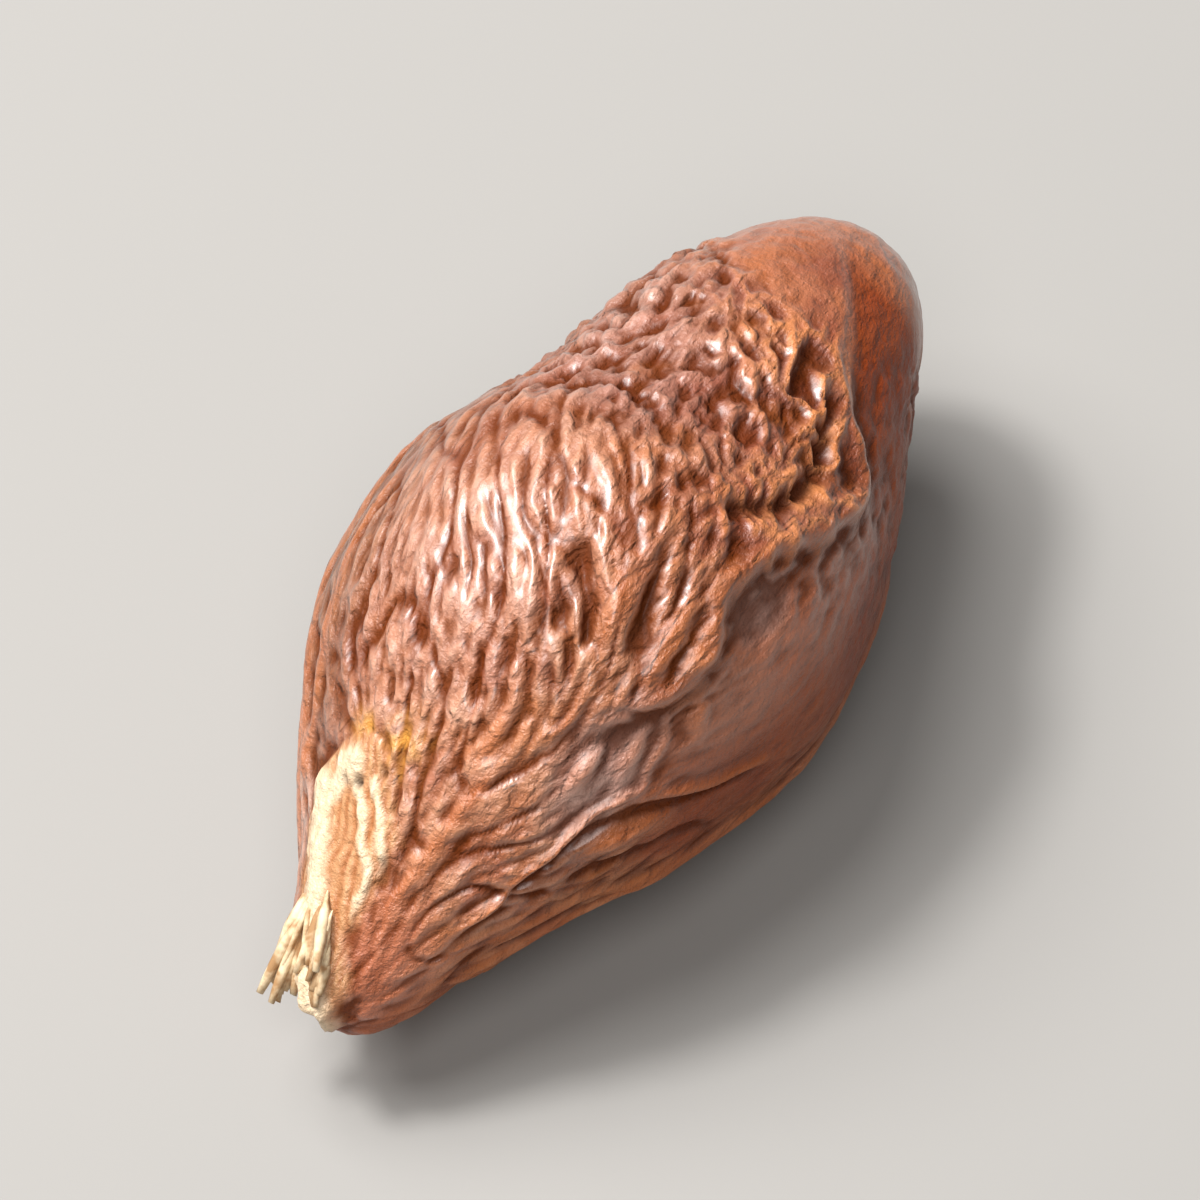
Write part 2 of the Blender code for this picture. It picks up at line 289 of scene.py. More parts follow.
def near_line(line):
    """How far each point of the skin is from a line on it, below zero on the side of smaller azimuths."""
    first, last = line[0][0], line[-1][0]
    steps = np.linspace(first, last, LINE_STEPS)
    track = on_body(steps, smooth_through(line, steps))
    gap = np.full(len(body), FAR_OFF)
    close = (along > first - LINE_REACH) & (along < last + LINE_REACH)
    for start, end in zip(track[:-1], track[1:]):
        stretch = end - start
        reach = np.clip((body[close] - start) @ stretch / (stretch @ stretch), 0, 1)
        away = np.linalg.norm(body[close] - start - reach[:, None] * stretch, axis=1)
        gap[close] = np.minimum(gap[close], away)
    return gap * np.sign(turned(smooth_through(line, np.clip(along, first, last))))


def faded(line):
    """1 along the middle of a line, falling to 0 towards its two ends."""
    first, last = line[0][0], line[-1][0]
    run = min(1.2, (last - first) / 2)
    return eased(first - 0.2, first + run, along) * (1 - eased(last - run, last + 0.2, along))


corners = np.concatenate([squares[:, [0, 1, 2]], squares[:, [0, 2, 3]]])
first, second, third = body[corners].transpose(1, 0, 2)
opposite = np.stack([third - second, first - third, second - first], axis=1)
flat_normals = np.cross(opposite[:, 0], opposite[:, 1])
doubled_area = np.linalg.norm(flat_normals, axis=1)
area = sum(np.bincount(corners[:, i], doubled_area / 6, len(body)) for i in range(3))


def drawn_out(pull, lay):
    """How strongly neighbouring points of the skin are tied, 1 + pull times as much along the lay angle."""
    turn, tilt = np.radians(azimuth), np.radians(lay)
    around = np.stack([np.zeros_like(turn), -np.sin(turn), np.cos(turn)], axis=1)
    grain = around * np.sin(tilt)[:, None] + np.array([1.0, 0, 0]) * np.cos(tilt)[:, None]
    sideways = np.cross(grain[corners[:, 0]], flat_normals) / doubled_area[:, None]
    with_grain = np.einsum("tij,tj->ti", opposite, sideways)
    ends, ties = [], []
    for i, j in ((0, 1), (1, 2), (2, 0)):
        even = np.einsum("ij,ij->i", opposite[:, i], opposite[:, j])
        ends.append(corners[:, [i, j]])
        drawn = pull[corners[:, 0]] * with_grain[:, i] * with_grain[:, j]
        ties.append(-(even + drawn) / (2 * doubled_area))
    ends = np.sort(np.concatenate(ends), axis=1)
    pairs, index = np.unique(ends[:, 0] * len(body) + ends[:, 1], return_inverse=True)
    return np.stack([pairs // len(body), pairs % len(body)]), np.bincount(index, np.concatenate(ties))


def smoothed(field, links, size):
    """The field with all that is much smaller than this size evened out, by conjugate gradients."""
    (start, end), ties = links
    near, far = np.concatenate([start, end]), np.concatenate([end, start])
    pulls = np.concatenate([ties, ties]) * size**2
    held = area + np.bincount(near, pulls, len(field))

    def strained(x):
        return held * x - np.bincount(near, pulls * x[far], len(x))

    found = field.copy()
    rest = area * field - strained(found)
    step = rest / held
    power = rest @ step
    for _ in range(SOLVER_STEPS):
        push = strained(step)
        found += power / (step @ push) * step
        rest -= power / (step @ push) * push
        next_power = rest @ (rest / held)
        step = rest / held + next_power / power * step
        power = next_power
    return found


def buckled(spacing, links, seed, rounds):
    """Waves of the skin, about -1 to 1 and this far apart.

    Plain noise is smoothed over a small size and over a larger one, and the difference has only waves of
    this spacing. More rounds join them into longer, more even ridges.
    """
    small = spacing / WAVE_TO_SMALL
    large = LARGE_TO_SMALL * small
    waves = np.random.default_rng(seed).normal(size=len(body)) / np.sqrt(area)
    for _ in range(rounds):
        waves = smoothed(smoothed(waves, links, small), links, small)
        waves = waves - smoothed(smoothed(waves, links, large), links, large)
        waves = np.tanh(waves / waves.std())
    return waves


def narrow_crests(waves):
    """The waves with their crests narrowed and their valleys broadened."""
    return 2 * np.clip((1 + waves) / 2, 0, 1) ** 1.5 - 1


# Each kind of skin covers its own part of the nut, with edges that wander with slow noise.
slow = noise_at(body, 4.5, 8.2)
patchy = noise_at(body, 2.4, 21.7)
keel_gap = near_line(KEEL)
keel_reach = eased(*KEEL_STARTS, along) * (1 - eased(*KEEL_ENDS, along))
below_keel = turned(np.interp(along, *np.array(KEEL).T))
taut = eased(*TAUT_STARTS, below_keel) * (1 - eased(*TAUT_ENDS, below_keel)) * keel_reach
crown_edge = CROWN_STARTS + CROWN_LAGS * (1 - bump(turned(100), 55))
crown = eased(-0.3, 1.3, along + 0.7 * slow - crown_edge)
blunt_half = eased(*BLUNT_HALF_STARTS, along + 2 * slow)
stalk_half = 1 - eased(*STALK_HALF_ENDS, along)
calm = bump(turned(115), 28) * stalk_half
near_keel = bump(keel_gap + 1.2, 2.0) * blunt_half

# The waves run lengthwise at the stalk and slant over the top further on, and every set has its own seed.
lay = -35 * bump(turned(95), 50) * (1 - stalk_half) + 14 * slow
lengthwise = drawn_out(PLEAT_PULL - PLEAT_PULL_LOST * blunt_half, lay)
every_way = drawn_out(np.ones(len(body)), lay)
less_drawn = drawn_out(CREASE_PULL - CREASE_PULL_LOST * blunt_half, lay)
pleats = buckled(PLEAT_SPACING, lengthwise, 4, 2)
creases = buckled(CREASE_SPACING, less_drawn, 1, 2)
crinkles = buckled(CRINKLE_SPACING, less_drawn, 9, 2)
lumps = buckled(LUMP_SPACING, every_way, 2, 2)
swells = buckled(SWELL_SPACING, every_way, 7, 1)
winding_one = buckled(WINDING_SPACINGS[0], every_way, 3, 1)
winding_two = buckled(WINDING_SPACINGS[1], every_way, 5, 1)

# Where waves cross zero lie thin grooves between broad folds, or sharp ridges that run on and meet.
grooves = bump(pleats, 0.24)
comb = 1 - 2.4 * np.minimum(abs(winding_one), abs(winding_two))
side_net = 0.15 - (0.85 + 0.4 * slow) * grooves + (0.45 + 0.4 * patchy) * narrow_crests(creases)
side_net = side_net + 0.45 * crinkles
blunt_net = (0.7 + 0.4 * patchy) * lumps - 0.25 * grooves + 0.5 * swells + 0.4 * crinkles
blunt_net = blunt_net * (1 - 0.75 * near_keel) + comb * (0.1 + 0.95 * near_keel)
net = side_net * (1 - blunt_half) + blunt_net * blunt_half

# The net is highest over the top, and low on the taut flank, the crown, the keel and the very stalk end.
strength = (1 - 0.7 * taut) * (1 - 0.85 * crown) * (1 - 0.5 * calm) * (0.4 + 0.6 * eased(0.8, 3.5, along))
strength = strength * np.maximum(0.5 + 0.45 * bump(turned(110), 40), 0.85 * blunt_half)
strength = strength * (1 - 0.6 * bump(keel_gap, 0.4) * keel_reach)
strength = strength * (1 - 0.5 * bump(turned(205), 38) * blunt_half)
folds, fold_relief = 0, 0
for height, width, line in FOLDS:
    gap = near_line(line)
    fold = bump(gap, width * (1 + 0.3 * patchy)) * faded(line)
    folds = np.maximum(folds, fold)
    fold_relief = fold_relief + height * fold
valleys, valley_relief = 0, 0
for depth, width, line in VALLEYS:
    valley = bump(near_line(line), width * (1 + 0.3 * patchy)) * faded(line)
    valleys = np.maximum(valleys, valley)
    valley_relief = valley_relief + depth * valley
crease = bump(near_line(CREASE), 0.3)
sunken, bloom = 0, 0
for middle, side, radius, depth in SUNKEN:
    off = np.hypot((along - middle) / SUNKEN_STRETCH, np.radians(turned(side)) * half_thickness(along))
    sunken = sunken + depth * (1 - eased(0.5 * radius, radius, off))
    bloom = np.maximum(bloom, 1 - eased(0.4 * radius, 1.1 * radius, off))

dents = DENT_DEPTH * noise_at(body / DENT_STRETCH, DENT_SPACING, 3.7)
# The keel is a broad swelling with a sharp edge and a hollow beside it, and it softens past 18.5 mm.
keel_hollow = bump(keel_gap - 0.5, 0.25) * (1 - eased(16, 19, along))
keel = 0.12 * bump(keel_gap, 0.8) + 0.1 * bump(keel_gap, 0.25) - 0.1 * keel_hollow
stepped = 1 - 0.7 * eased(18.5, 21, along)
keel = keel * keel_reach * stepped - 0.3 * taut * stepped * (1 - eased(30, 65, below_keel))
crumple = RIDGE_HEIGHT * net * strength * (1 - 0.6 * folds) * (1 - 0.7 * bloom)
relief = dents + keel + crumple + fold_relief - valley_relief - sunken - 0.32 * crease
# The belly is plain where the nut rests on it.
from_rest = np.hypot(body[:, 0] - REST_ALONG, REST_NARROWS * body[:, 1])
relief = relief * np.where(abs(turned(UNDERSIDE)) < 90, eased(*REST_RADII, from_rest), 1)


# The scar of the stalk.
# Where the stalk sat, pale corky fibres lie bare. A thick cord runs from the stalk end up the side to a
# rounded head with three tiny pits, and two thin wavy cords run beside it, with tan grooves between them.
SCAR_EDGES = (  # along, azimuth of the one edge and of the other
    (0.0, 8, 100),
    (1.0, 17, 82),
    (2.0, 19, 84),
    (2.9, 23, 90),
    (3.5, 25, 90),
    (4.2, 28, 80),
    (4.8, 42, 72),
    (5.1, 54, 64),
)
SCAR_CORDS = (  # height, width and line
    (0.22, 0.52, ((0.0, 50), (0.9, 46), (1.9, 43), (2.5, 41), (3.3, 37), (4.2, 36))),
    (0.12, 0.17, ((1.7, 78), (2.3, 81), (2.6, 80), (3.2, 70), (3.6, 68), (4.2, 60))),
    (0.1, 0.15, ((2.6, 88), (3.1, 84), (3.7, 78), (4.3, 69))),
    (0.1, 0.4, ((3.6, 40), (4.1, 46), (4.6, 52))),
)
SCAR_HEAD = (4.5, 57, 0.42)  # along, azimuth and radius
HEAD_HEIGHT = 0.2
SCAR_PITS = ((4.2, 53, 0.09), (4.2, 61, 0.12), (4.5, 73, 0.09))
PIT_DEPTH = 0.2
AMBER_SPOTS = ((5.15, 57, 0.4), (5.15, 79, 0.5), (4.9, 71, 0.35))
FIBRE_SPACING = 0.3
FIBRE_HEIGHT = 0.025
FINEST_HEIGHT = 0.015
CAVITY_SIZE = 0.25  # a hollow of about this width counts as deep from this depth on
CAVITY_DEPTH = 0.05
STUB_LENGTH = 0.35
STUB_PLACE = (0.75, 0.8)  # across and up from the middle of the stalk end
STUB_RADIUS = 0.95
STUB_ENDS = (0.3, 2.4)


def around_from(middle):
    """How far round the skin each point lies from an azimuth, in millimetres."""
    return np.radians(turned(middle)) * half_thickness(along)


def near_spot(middle, side):
    return np.hypot(along - middle, around_from(side))


edge_stations, one_edge, other_edge = np.array(SCAR_EDGES, float).T
wander = noise_at(body, 0.9, 2.2)
inside = np.minimum(
    around_from(np.interp(along, edge_stations, one_edge)),
    -around_from(np.interp(along, edge_stations, other_edge)),
)
inside = np.minimum(inside, SCAR_EDGES[-1][0] - along)
ragged = noise_at(body, 0.35, 6.6)
scar = eased(-0.2, 0.2, inside + 0.15 * wander + 0.06 * ragged)

head_along, head_side, head_radius = SCAR_HEAD
cord = bump(near_spot(head_along, head_side) + 0.04 * ragged, head_radius)
cord_height = HEAD_HEIGHT * cord
for height, width, line in SCAR_CORDS:
    tapered = eased(line[0][0] - 0.3, line[0][0] + 0.5, along) if line[0][0] > 0 else 1
    strand = bump(near_line(line) + 0.06 * wander + 0.03 * ragged, width) * tapered
    cord = np.maximum(cord, strand)
    cord_height = np.maximum(cord_height, strand * height)
pits = sum(bump(near_spot(middle, side), size) for middle, side, size in SCAR_PITS)
amber = sum(bump(near_spot(middle, side), size) for middle, side, size in AMBER_SPOTS)
amber = np.clip(amber * (0.7 + 0.6 * ragged), 0, 1) * (1 - cord)
fibres = np.cos(around_from(60) * 2 * math.pi / FIBRE_SPACING + 3 * wander) * (0.6 + 0.4 * ragged)
scar_relief = 0.4 * dents + cord_height + FIBRE_HEIGHT * fibres + FINEST_HEIGHT * ragged - PIT_DEPTH * pits
relief = relief * (1 - scar) + scar_relief * scar

# Painted shade: how far each point lies below the skin evened out over about 0.25 mm, to darken pits and
# hollows.
cavity_shade = np.maximum(smoothed(relief, every_way, CAVITY_SIZE) - relief, 0) / CAVITY_DEPTH
skin = body + body_normals * relief[:, None]
stub_middle = (SWAY_STATIONS[0][1] + STUB_PLACE[0], HEIGHT_STATIONS[0][1] + STUB_PLACE[1])
off_stub = np.hypot(body[:, 1] - stub_middle[0], body[:, 2] - stub_middle[1])
frayed = 1 + 0.5 * noise_at(body, 0.5, 5.1)
skin[:, 0] -= STUB_LENGTH * frayed * bump(off_stub, STUB_RADIUS) * (1 - eased(*STUB_ENDS, along))


# The whole nut as one mesh.
# It lies on its belly, which is pressed flat where its weight rests, and it is set into the same place
# as the solid that it stands for.
REST_CUT = 0.12  # how deep the belly is pressed flat

floor_height = skin[:, 2].min() + REST_CUT
skin[:, 2] = np.maximum(skin[:, 2], floor_height)
low, high = skin.min(axis=0), skin.max(axis=0)
solid_low, solid_high = (np.array(corner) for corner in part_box("malva_nut"))
middle = (solid_low + solid_high) / 2
shift = np.array([middle[0] - (low[0] + high[0]) / 2000, middle[1] - (low[1] + high[1]) / 2000, 0])
shift[2] = solid_low[2] - floor_height / 1000

mesh = bpy.data.meshes.new("malva_nut_skin")
mesh.from_pydata(skin / 1000 + shift, [], squares)
mesh.shade_smooth()
nut = bpy.data.objects.new("malva_nut_skin", mesh)
bpy.context.collection.objects.link(nut)
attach(nut, "root")
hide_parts("malva_nut")

# What the material reads off the skin, each between 0 and 1: where it is raised, sunken or bare, and
# where painted sheen and painted shade go.
# Painted sheen: the crests on the lit side, where the key light glances off, are painted paler and pinkish.
painted_sheen = bump(turned(74), 30) * bump(along - 8.8, 4.6) + 0.6 * bump(turned(56), 26) * bump(along - 18, 3)
painted_sheen = painted_sheen + bump(turned(10), 16) * bump(along - 3.6, 2)
# Painted shade: the underside, from azimuth 150 round to 355, is painted darker, and is less shiny too.
dull_and_shaded = eased(150, 180, azimuth) * (1 - eased(330, 355, azimuth))
open_grooves = 0.7 * grooves * (1 - blunt_half) * (1 - taut) * (1 - 0.7 * calm)
stalk_smooth = 0.9 - 0.9 * eased(1.5, 5.5, along)
paints = {
    "crest": 0.5 + 0.4 * net * (1 - 0.5 * taut),
    # Darker grooves and valleys, partly painted shade.
    "groove": np.maximum(open_grooves, 0.8 * valleys),
    "cavity_shade": cavity_shade * (1 - 0.4 * near_keel),
    # Painted shade in the crease and under the edge of the keel.
    "hollow_shade": 0.8 * crease + 0.7 * keel_hollow * keel_reach,
    "fold": np.maximum(folds, bump(keel_gap - 0.2, 0.4) * keel_reach * (1 - crown)),
    "bloom": bloom,
    "stalk_end": (1 - eased(0.6, 3.2, along + 0.5 * slow)) * (1 - scar),
    "scar": scar,
    "cord": eased(0.2, 0.85, cord + 0.12 * ragged),
    "taut": taut,
    "crown": crown * (1 - 0.8 * taut),
    "pits": pits,
    "smooth_skin": np.maximum.reduce([crown, scar, 0.7 * taut, stalk_smooth, 0.5 * calm]),
    "amber": amber,
    "fibres": 0.5 + 0.5 * fibres,
    "blunt_half": blunt_half,
    "painted_sheen": painted_sheen * (0.8 + 0.3 * net),
    # Painted shade: the edge round azimuth 18 is darkened with a dark tan.
    "shaded_tan_edge": bump(turned(18), 30) * (1 - 0.4 * blunt_half),
    # Painted shade also on the taut skin below the keel from 17 mm on, the facet of the blunt end.
    "dull_and_shaded": np.maximum(dull_and_shaded, taut * eased(17, 20, along)),
    "orange_rim": near_keel * eased(-0.2, 0.9, net) * (1 - taut) * (1 - crown),
}
for name, values in paints.items():
    mesh.attributes.new(name, "FLOAT", "POINT").data.foreach_set("value", np.clip(values, 0, 1))


# The seed coat's finish.
# Dried seed coat, a thin tannin-brown leather with a slight natural shine: reddish brown, darker down in
# the hollows, partly as painted shade, paler and pinkish on the crests of the lit side as a painted sheen,
# and cream to straw on the corky scar.
MOTTLE_SIZE = 4.0  # of each pattern, in mm
BLOTCH_SIZE = 1.8
GRAIN_SIZE = 0.5
LINE_SIZE = 0.3  # of the fine lines that run along the nut, 2.5 times as long as wide
LINE_SQUEEZE = 0.4
CELL_SIZE = 0.5  # of the cells between the finest cracks
CELL_EDGE = 0.22  # how far a crack reaches into its cells, as a share of their spacing
BEND_SIZE = 0.8
BEND_REACH = 0.6  # how far the cells are bent out of shape at most
LINE_RISE = 0.3  # of the bumps, in mm
CELL_RISE = 0.1
GRAIN_RISE = 0.2
COAT_COLOURS = (  # what each is called, its share and how much of that, and the colours under and over
    # Raised and sunken skin, the sunken skin darker, partly as painted shade, and redder and darker in the
    # blunt half.
    ("crest_side", "mottle", 1, "#b0663e", "#c48c68"),
    ("crest_blunt", "mottle", 1, "#8a4a34", "#a06c5c"),
    ("hollow_side", "mottle", 1, "#843c12", "#964c22"),
    ("high", "blunt_half", 1, "crest_side", "crest_blunt"),
    ("low", "blunt_half", 1, "hollow_side", "#64290e"),
    ("brown", "crest", 1, "low", "high"),
    # A pale fine grain, and red and orange blotches.
    ("brown", "speckle", 1, "brown", "#cd9a7c"),
    ("brown", "red", 0.5, "brown", "#93452c"),
    ("brown", "orange", 0.5, "brown", "#b5662c"),
    # The tan lower edge, darkened as painted shade, a painted sheen that makes the crests on top pale and
    # pinkish, and the grooves between the pleats, darker partly as painted shade.
    ("tan", "mottle", 1, "#6d4023", "#7f5233"),
    ("brown", "shaded_tan_edge", 0.8, "brown", "tan"),
    ("sheen_tint", "crest", 1, "#a8623e", "#dfb8a6"),
    ("brown", "painted_sheen", 0.62, "brown", "sheen_tint"),
    ("brown", "groove", 0.7, "brown", "#74300c"),
    # The taut flank below the keel, dull towards the back, and darkened there and on the blunt end's facet
    # as painted shade.
    ("flank_bright", "mottle", 1, "#a85a32", "#a66a50"),
    ("flank_shaded", "mottle", 1, "#843208", "#8e4018"),
    ("flank", "dull_and_shaded", 1, "flank_bright", "flank_shaded"),
    ("brown", "taut", 0.8, "brown", "flank"),
    # The finest cracks, the pale bloom in the sunken patches and the smooth cap.
    ("brown", "crack", 1, "brown", "#5a220a"),
    ("powdery", "grain", 1, "#8a5a4c", "#dcb9ab"),
    ("brown", "bloom", 0.75, "brown", "powdery"),
    ("cap", "red", 1, "#a45c34", "#84452a"),
    ("brown", "crown", 0.7, "brown", "cap"),
    # Orange along the folds and on the ridges near the keel, and the stalk end round the scar.
    ("brown", "fold", 0.45, "brown", "#bd6c3a"),
    ("brown", "orange_rim", 0.75, "brown", "#d4854c"),
    ("brown", "stalk_end", 0.8, "brown", "#ad6040"),
    # Painted shade in deep places, in the crease and under the keel's edge, and the amber spots round the
    # head of the scar.
    ("brown", "cavity_shade", 0.75, "brown", "#51220a"),
    ("brown", "hollow_shade", 0.6, "brown", "#552a19"),
    ("brown", "amber", 0.85, "brown", "#cf9243"),
    # The bare cork: pale cords with fine streaks, tan grooves and dark pits.
    ("streaks", "fibres", 1, "#ceae88", "#e6d3b8"),
    ("cord_straw", "grain", 1, "#d9bd99", "streaks"),
    ("groove_tan", "fibres", 1, "#985c34", "#c69468"),
    ("pale", "cord", 1, "groove_tan", "cord_straw"),
    ("pale", "pits", 1, "pale", "#2e170d"),
    ("whole", "scar", 1, "brown", "pale"),
)


def linear(hex_colour):
    """The linear colour of an sRGB hex value."""
    parts = [int(hex_colour[i : i + 2], 16) / 255 for i in (1, 3, 5)]
    return (*[c / 12.92 if c <= 0.04045 else ((c + 0.055) / 1.055) ** 2.4 for c in parts], 1.0)


def node(tree, kind, settings=(), **links):
    """Adds a node, sets its properties and sockets, and links sockets given as another node's output."""
    made = tree.nodes.new(kind)
    for name, value in dict(settings).items():
        setattr(made, name, value)
    for name, value in links.items():
        key = int(name[1:]) if name[0] == "i" and name[1:].isdigit() else name.replace("_", " ")
        socket = made.inputs[key]
        if isinstance(value, bpy.types.NodeSocket):
            tree.links.new(value, socket)
        else:
            socket.default_value = value
    return made


coat = bpy.data.materials.new("dried_seed_coat")
coat.use_nodes = True
tree = coat.node_tree
shader = tree.nodes["Principled BSDF"]
shares = {}
for name in paints:
    shares[name] = node(tree, "ShaderNodeAttribute", {"attribute_name": name}).outputs["Fac"]

# Noise, of which the lines are drawn out along the nut, and a net of thin cracks round bent cells.
place = node(tree, "ShaderNodeTexCoord").outputs["Object"]
lines_place = node(tree, "ShaderNodeMapping", Vector=place, Scale=(LINE_SQUEEZE, 1.0, 1.0)).outputs[0]
for name, where, size, detail, roughness in (
    ("patches", place, MOTTLE_SIZE, 3.0, 0.6),
    ("blotches", place, BLOTCH_SIZE, 2.0, 0.6),
    ("grain", place, GRAIN_SIZE, 4.0, 0.65),
    ("lines", lines_place, LINE_SIZE, 4.0, 0.6),
):
    pattern = node(
        tree, "ShaderNodeTexNoise", Vector=where, Scale=1000 / size, Detail=detail, Roughness=roughness
    )
    shares[name] = pattern.outputs["Fac"]
bends = node(tree, "ShaderNodeTexNoise", Vector=lines_place, Scale=1000 / BEND_SIZE, Detail=2.0)
bent = node(
    tree,
    "ShaderNodeVectorMath",
    {"operation": "MULTIPLY_ADD"},
    i0=bends.outputs["Color"],
    i1=(BEND_REACH / 1000,) * 3,
    i2=lines_place,
)
cells = node(
    tree,
    "ShaderNodeTexVoronoi",
    {"feature": "DISTANCE_TO_EDGE"},
    Vector=bent.outputs[0],
    Scale=1000 / CELL_SIZE,
)
risen = node(
    tree,
    "ShaderNodeMapRange",
    {"interpolation_type": "SMOOTHSTEP"},
    Value=cells.outputs["Distance"],
    From_Max=CELL_EDGE,
)
cell_rise = node(
    tree, "ShaderNodeMath", {"operation": "MAXIMUM"}, i0=risen.outputs[0], i1=shares["smooth_skin"]
).outputs[0]

# Patterns turned into shares: over its own two values each pattern gives the first to the last share.
for name, pattern, pattern_first, pattern_last, first, last in (
    ("mottle", shares["patches"], 0.35, 0.65, 0.0, 1.0),
    ("red", shares["blotches"], 0.52, 0.68, 0.0, 1.0),
    ("orange", shares["blotches"], 0.48, 0.32, 0.0, 1.0),
    ("speckle", shares["grain"], 0.45, 0.75, 0.0, 0.16),
    ("crack", cell_rise, 0.0, 1.0, 0.26, 0.0),
    ("roughness", shares["grain"], 0.0, 1.0, 0.32, 0.55),
):
    ramp = node(
        tree,
        "ShaderNodeMapRange",
        Value=pattern,
        From_Min=pattern_first,
        From_Max=pattern_last,
        To_Min=first,
        To_Max=last,
    )
    shares[name] = ramp.outputs[0]

colours = {}
for name, share, amount, under, over in COAT_COLOURS:
    shown = shares[share]
    if amount < 1:
        shown = node(tree, "ShaderNodeMath", {"operation": "MULTIPLY"}, i0=shown, i1=amount).outputs[0]
    under = colours[under] if under in colours else linear(under)
    over = colours[over] if over in colours else linear(over)
    mix = node(tree, "ShaderNodeMix", {"data_type": "RGBA"}, i0=shown, i6=under, i7=over)
    colours[name] = mix.outputs[2]
tree.links.new(colours["whole"], shader.inputs["Base Color"])
tree.links.new(shares["roughness"], shader.inputs["Roughness"])

# The shine is lost in the hollows and on the dull underside, and the bare cork has no clear outer coat.
dull_share = node(tree, "ShaderNodeMath", {"operation": "MULTIPLY"}, i0=shares["dull_and_shaded"], i1=0.85)
deep = node(tree, "ShaderNodeMath", {"operation": "MAXIMUM"}, i0=shares["cavity_shade"], i1=shares["hollow_shade"])
sheltered = node(
    tree, "ShaderNodeMath", {"operation": "MAXIMUM"}, i0=deep.outputs[0], i1=dull_share.outputs[0]
)
shine = node(tree, "ShaderNodeMapRange", Value=sheltered.outputs[0], To_Min=1.0, To_Max=0.1).outputs[0]
specular = node(tree, "ShaderNodeMath", {"operation": "MULTIPLY"}, i0=shine, i1=0.5)
tree.links.new(specular.outputs[0], shader.inputs["Specular IOR Level"])
unscarred = node(tree, "ShaderNodeMath", {"operation": "SUBTRACT"}, i0=shine, i1=shares["scar"])
coat_weight = node(tree, "ShaderNodeClamp", Value=unscarred.outputs[0])
tree.links.new(coat_weight.outputs[0], shader.inputs["Coat Weight"])
shader.inputs["Coat Roughness"].default_value = 0.24

line_bump = node(tree, "ShaderNodeBump", Height=shares["lines"], Strength=0.5, Distance=LINE_RISE / 1000)
cell_bump = node(
    tree,
    "ShaderNodeBump",
    Height=cell_rise,
    Normal=line_bump.outputs[0],
    Strength=0.45,
    Distance=CELL_RISE / 1000,
)
grain_bump = node(
    tree,
    "ShaderNodeBump",
    Height=shares["grain"],
    Normal=cell_bump.outputs[0],
    Strength=0.75,
    Distance=GRAIN_RISE / 1000,
)
tree.links.new(grain_bump.outputs[0], shader.inputs["Normal"])
mesh.materials.append(coat)


# The frayed foot of the stalk.
# Where the stalk tore off, its corky fibres splay out past the stalk end in two ragged tufts, with thinner
# fibres between them. Each fibre is a thin tapering rod, bent a little.
TUFTS = (  # how many fibres, the azimuths they start between, the way they point, their length and width
    (15, 26, 44, (-0.8, -0.06, -0.54), 1.8, 0.42),
    (9, 56, 68, (-0.9, -0.33, -0.3), 1.6, 0.38),
    (10, 36, 62, (-0.88, -0.2, -0.44), 1.2, 0.3),
)
DROOP = 0.3  # how far a fibre hangs at its tip, as a share of its length
ROOTS = (0.7, 2.1)  # how far along the nut a fibre starts
ROOT_LIFT = 0.12
LEVEL_ROOT = 1.2  # a fibre that starts further on than this is as much longer, so the tips end level
LENGTH_SPREAD = (0.7, 1.0)  # of a fibre, as shares of its tuft's
WIDTH_SPREAD = (0.6, 1.1)
LEAN_SPREAD = 0.07
BEND_SPREAD = 0.1
FIBRE_SIDES = 6
FIBRE_RINGS = 8
CORK_GRAIN_SIZE = 0.6

fibre_points, fibre_faces = [], []
rng = np.random.default_rng(12)
for count, first_side, last_side, way, tuft_length, tuft_width in TUFTS:
    way = np.array(way) / np.linalg.norm(way)
    sideways = np.cross(way, (0, 0, 1))
    sideways = sideways / np.linalg.norm(sideways)
    upwards = np.cross(sideways, way)
    for _ in range(count):
        side = rng.uniform(first_side, last_side)
        start = rng.uniform(*ROOTS)
        root = on_body(np.array([start]), np.array([side]))[0]
        root = root + ROOT_LIFT * np.array([0, math.cos(math.radians(side)), math.sin(math.radians(side))])
        length = tuft_length * rng.uniform(*LENGTH_SPREAD) + start - LEVEL_ROOT
        lean = rng.normal(0, LEAN_SPREAD, 2)
        bend = rng.normal(0, BEND_SPREAD, 2)
        width = tuft_width * rng.uniform(*WIDTH_SPREAD)
        base = len(fibre_points)
        for ring in range(FIBRE_RINGS):
            t = ring / (FIBRE_RINGS - 1)
            middle = root + length * (way * t + sideways * (lean[0] * t + bend[0] * t * t))
            middle = middle + length * upwards * (lean[1] * t + bend[1] * t * t)
            middle[2] -= DROOP * length * t * t
            # Thin at its hidden root, full from a third of the way on and half as thick at its tip.
            radius = width / 2 * min(1, 0.1 + 2.5 * t) * (1 - 0.5 * t**3)
            for turn in np.linspace(0, 2 * math.pi, FIBRE_SIDES, endpoint=False):
                off_axis = sideways * math.cos(turn) + upwards * math.sin(turn)
                fibre_points.append(middle + radius * off_axis)
        for ring in range(FIBRE_RINGS - 1):
            for side in range(FIBRE_SIDES):
                near, far = base + ring * FIBRE_SIDES, base + (ring + 1) * FIBRE_SIDES
                following = (side + 1) % FIBRE_SIDES
                fibre_faces.append((near + side, near + following, far + following, far + side))
        tip = base + (FIBRE_RINGS - 1) * FIBRE_SIDES
        fibre_faces.append(tuple(base + side for side in reversed(range(FIBRE_SIDES))))
        fibre_faces.append(tuple(tip + side for side in range(FIBRE_SIDES)))

tuft_mesh = bpy.data.meshes.new("stalk_fibres")
tuft_mesh.from_pydata(np.array(fibre_points) / 1000 + shift, [], fibre_faces)
tuft_mesh.shade_smooth()
tufts = bpy.data.objects.new("stalk_fibres", tuft_mesh)
bpy.context.collection.objects.link(tufts)
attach(tufts, "root")

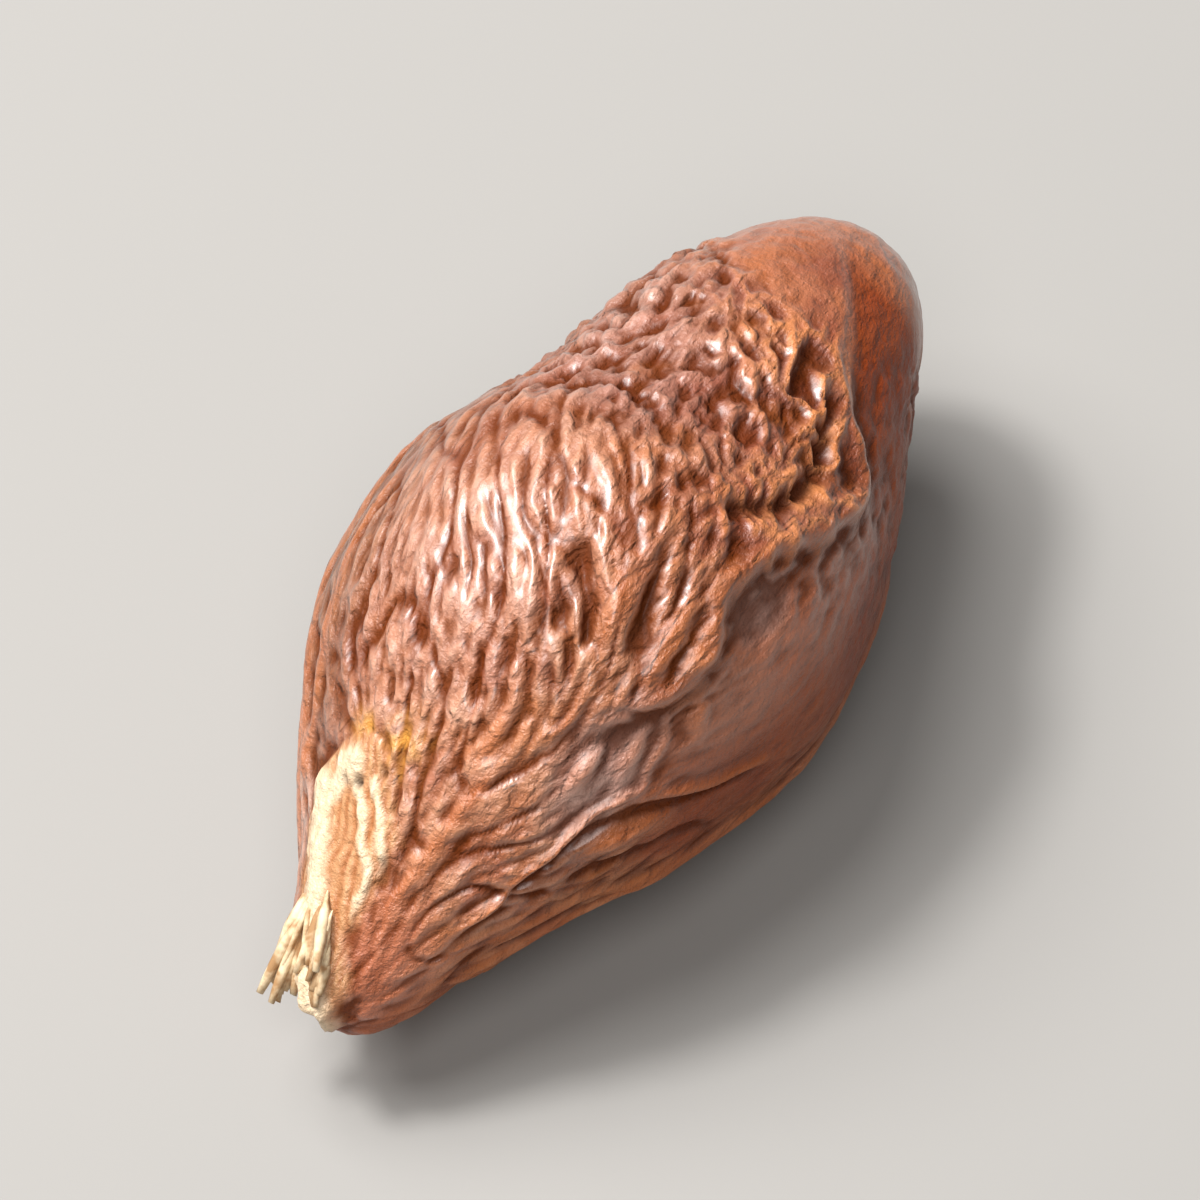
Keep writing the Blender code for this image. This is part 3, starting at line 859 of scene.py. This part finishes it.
# Dry cork, matt, straw to light brown in small patches like the fibres of the scar.
cork = bpy.data.materials.new("corky_stalk_fibre")
cork.use_nodes = True
cork_shader = cork.node_tree.nodes["Principled BSDF"]
cork_place = node(cork.node_tree, "ShaderNodeTexCoord").outputs["Object"]
cork_grain = node(
    cork.node_tree,
    "ShaderNodeTexNoise",
    Vector=cork_place,
    Scale=1000 / CORK_GRAIN_SIZE,
    Detail=3.0,
    Roughness=0.6,
).outputs["Fac"]
cork_share = node(cork.node_tree, "ShaderNodeMapRange", Value=cork_grain, From_Min=0.4, From_Max=0.62)
cork_colour = node(
    cork.node_tree,
    "ShaderNodeMix",
    {"data_type": "RGBA"},
    i0=cork_share.outputs[0],
    i6=linear("#a27a50"),
    i7=linear("#e2cda8"),
)
cork.node_tree.links.new(cork_colour.outputs[2], cork_shader.inputs["Base Color"])
cork_shader.inputs["Roughness"].default_value = 0.75
tuft_mesh.materials.append(cork)


# The floor, the light and the camera.
# A plain pale table under plain soft studio light. The camera looks down at the nut as in the photograph.
VIEW_AZIMUTH = -55
VIEW_ELEVATION = 57
CAMERA_DISTANCE = 0.30
FRAME_WIDTH = 0.031  # of the picture, at the nut
SENSOR_WIDTH = 36
FLOOR_REACH = 1  # to each side, in metres
WORLD_STRENGTH = 0.12
SOFT_LIGHTS = (  # azimuth, elevation, distance and size in metres, and watts
    ("key_light", 188, 61, 0.40, 0.32, 2.35),
    ("spark_light", 194, 61, 0.40, 0.08, 1.2),
    ("fill_light", -60, 60, 0.5, 0.3, 1.2),
)

floor_corners = [(x * FLOOR_REACH, y * FLOOR_REACH, 0) for x, y in ((-1, -1), (1, -1), (1, 1), (-1, 1))]
floor_mesh = bpy.data.meshes.new("floor")
floor_mesh.from_pydata(floor_corners, [], [(0, 1, 2, 3)])
floor = bpy.data.objects.new("floor", floor_mesh)
bpy.context.collection.objects.link(floor)
table = bpy.data.materials.new("matt_white_card")
table.use_nodes = True
table.node_tree.nodes["Principled BSDF"].inputs["Base Color"].default_value = linear("#94918d")
table.node_tree.nodes["Principled BSDF"].inputs["Roughness"].default_value = 0.8
floor_mesh.materials.append(table)


def towards(azimuth_degrees, elevation_degrees):
    """The direction from the nut to something seen at that azimuth and elevation."""
    turn, rise = math.radians(azimuth_degrees), math.radians(elevation_degrees)
    return Vector((math.sin(turn) * math.cos(rise), -math.cos(turn) * math.cos(rise), math.sin(rise)))


nut_middle = Vector((0, 0, (cad_box[0][2] + cad_box[1][2]) / 2))
for name, light_azimuth, elevation, distance, size, watts in SOFT_LIGHTS:
    lamp = bpy.data.lights.new(name, "AREA")
    lamp.shape = "DISK"
    lamp.size = size
    lamp.energy = watts
    light = bpy.data.objects.new(name, lamp)
    direction = towards(light_azimuth, elevation)
    light.location = nut_middle + direction * distance
    light.rotation_euler = (-direction).to_track_quat("-Z", "Y").to_euler()
    bpy.context.collection.objects.link(light)
world = bpy.data.worlds.new("studio")
world.use_nodes = True
world.node_tree.nodes["Background"].inputs["Color"].default_value = (1, 1, 1, 1)
world.node_tree.nodes["Background"].inputs["Strength"].default_value = WORLD_STRENGTH
bpy.context.scene.world = world
bpy.context.scene.view_settings.view_transform = "Standard"

lens = bpy.data.cameras.new("camera")
lens.sensor_width = SENSOR_WIDTH
lens.sensor_fit = "HORIZONTAL"
lens.lens = lens.sensor_width * CAMERA_DISTANCE / FRAME_WIDTH
lens.clip_start = 0.01
camera = bpy.data.objects.new("camera", lens)
viewer = towards(VIEW_AZIMUTH, VIEW_ELEVATION)
camera.location = nut_middle + viewer * CAMERA_DISTANCE
camera.rotation_euler = (-viewer).to_track_quat("-Z", "Y").to_euler()
bpy.context.collection.objects.link(camera)
bpy.context.scene.camera = camera
